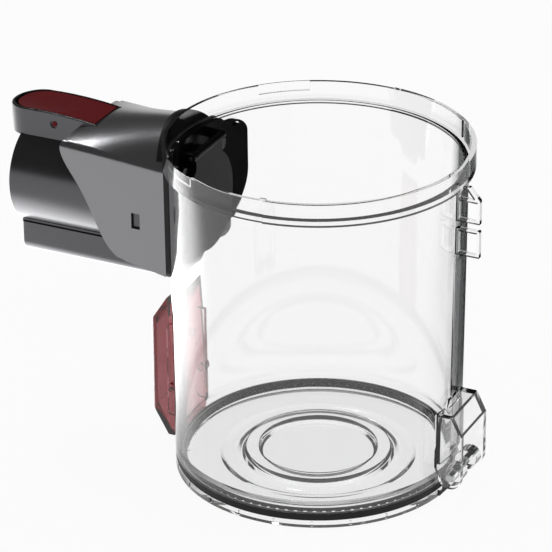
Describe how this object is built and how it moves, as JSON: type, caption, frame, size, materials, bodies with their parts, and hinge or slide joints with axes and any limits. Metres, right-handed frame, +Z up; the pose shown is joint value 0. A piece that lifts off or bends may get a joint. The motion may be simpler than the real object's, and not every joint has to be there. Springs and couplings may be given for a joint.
{
  "type": "cyclone dust bin",
  "caption": "Clear round dust bin of a stick vacuum with a stepped rim, dark inlet port with a red wand release button, red base catch and a sealed base that swings open.",
  "frame": {"origin": "on the bin's axis, in the plane that the base stands on", "axes": "+Z up out of the bin's mouth; -X towards the inlet and the base catch; +X towards the base hinge"},
  "size_m": [0.1974, 0.1188, 0.1363],
  "materials": {
    "clear_plastic": "clear, polished",
    "seal_rubber": "moulded, satin",
    "gasket_rubber": "moulded, satin",
    "pin_steel": "ground",
    "spring_steel": "drawn wire",
    "screw_steel": "zinc plated",
    "catch_red": "translucent",
    "inlet_grey": "satin",
    "cowl_grey": "satin metallic",
    "flange_black": "gloss",
    "flap_black": "gloss",
    "contact_brass": "bright",
    "button_red": "satin"
  },
  "bodies": {
    "bin": {"bin_body": "clear_plastic", "hinge_pin": "pin_steel", "catch_spring": "spring_steel", "inlet_tube": "inlet_grey", "inlet_cowl": "cowl_grey", "inlet_gasket": "gasket_rubber", "inlet_flange": "flange_black", "flange_screws": "screw_steel", "flap_pin": "pin_steel", "port_seal": "gasket_rubber", "wand_socket": "flange_black", "socket_pins": "contact_brass", "button_spring": "spring_steel"},
    "base": {"bin_base": "clear_plastic", "base_seal": "seal_rubber"},
    "catch": {"base_catch": "catch_red"},
    "button": {"release_button": "button_red"},
    "flap": {"inlet_flap": "flap_black"}
  },
  "joints": [
    {"name": "base_hinge", "type": "hinge", "parent": "bin", "child": "base", "pos_m": [0.061, 0, 0.0107], "axis": [0, -1, 0], "range_deg": [0, 100]},
    {"name": "catch_rock", "type": "hinge", "parent": "bin", "child": "catch", "pos_m": [-0.058, 0, 0.0235], "axis": [0, 1, 0], "range_deg": [0, 4], "stiffness_Nm_per_rad": 0.6, "springref_deg": -2.86, "deforming": ["catch_spring"]},
    {"name": "button_rock", "type": "hinge", "parent": "bin", "child": "button", "pos_m": [-0.108, 0, 0.1265], "axis": [0, 1, 0], "range_deg": [0, 6], "stiffness_Nm_per_rad": 0.4, "springref_deg": -3.44, "deforming": ["button_spring"]},
    {"name": "flap_swing", "type": "hinge", "parent": "bin", "child": "flap", "pos_m": [-0.04703, 0, 0.1243], "axis": [0, -1, 0], "range_deg": [0, 60]}
  ]
}
